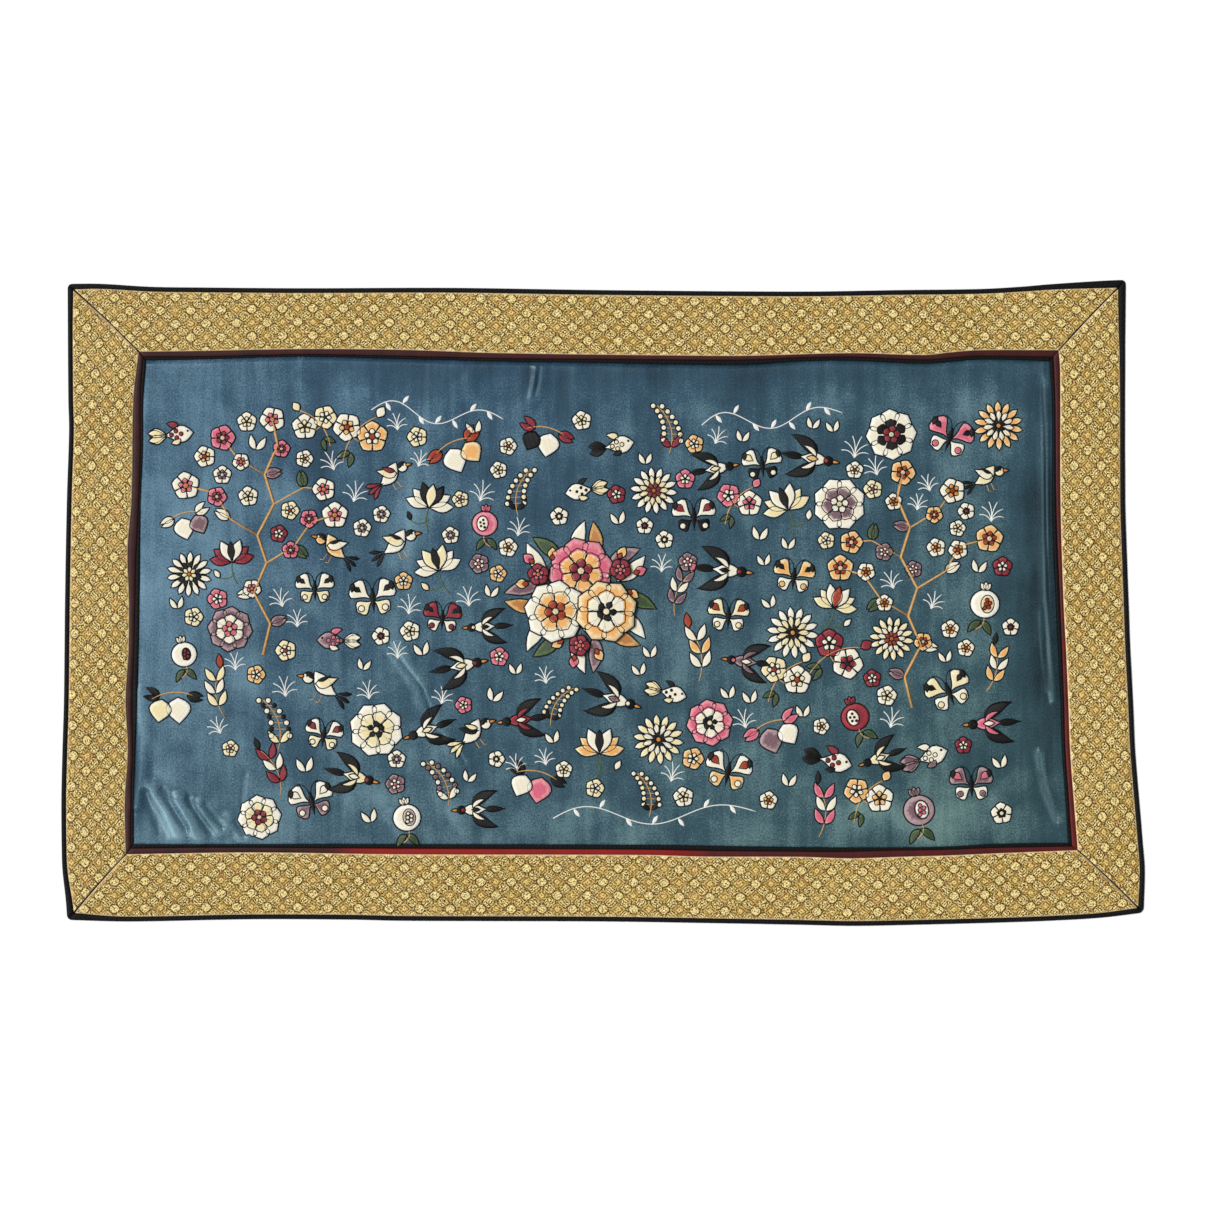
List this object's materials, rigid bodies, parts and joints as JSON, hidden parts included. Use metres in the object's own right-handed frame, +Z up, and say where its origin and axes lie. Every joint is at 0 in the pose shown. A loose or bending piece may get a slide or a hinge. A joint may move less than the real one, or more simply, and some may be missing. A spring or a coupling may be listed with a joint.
{
  "type": "silk embroidery panel",
  "caption": "Wide rectangular silk satin embroidery panel with a dark red band, mitred gold brocade border and black binding, lying face up with soft folds.",
  "frame": {"origin": "middle of the panel's outline, on the flat surface it lies on", "axes": "+X to the right along the long side, +Y towards the top edge, +Z up out of the embroidered face"},
  "size_m": [1.4728, 0.8778, 0.0053],
  "materials": {
    "silk_satin": "glossy slate blue satin with soft light streaks",
    "gold_brocade": "gold jacquard brocade with small pale roundels in a diagonal lattice",
    "red_silk": "dark red plain silk, brighter along the bottom",
    "black_binding": "matt black cotton sateen"
  },
  "bodies": {
    "root": {"satin_field": "silk_satin", "inner_binding_top": "black_binding", "inner_binding_bottom": "black_binding", "inner_binding_left": "black_binding", "inner_binding_right": "black_binding", "red_band_top": "red_silk", "red_band_bottom": "red_silk", "red_band_left": "red_silk", "red_band_right": "red_silk", "brocade_border_top": "gold_brocade", "brocade_border_bottom": "gold_brocade", "brocade_border_left": "gold_brocade", "brocade_border_right": "gold_brocade", "outer_binding_top": "black_binding", "outer_binding_bottom": "black_binding", "outer_binding_left": "black_binding", "outer_binding_right": "black_binding"}
  },
  "joints": []
}
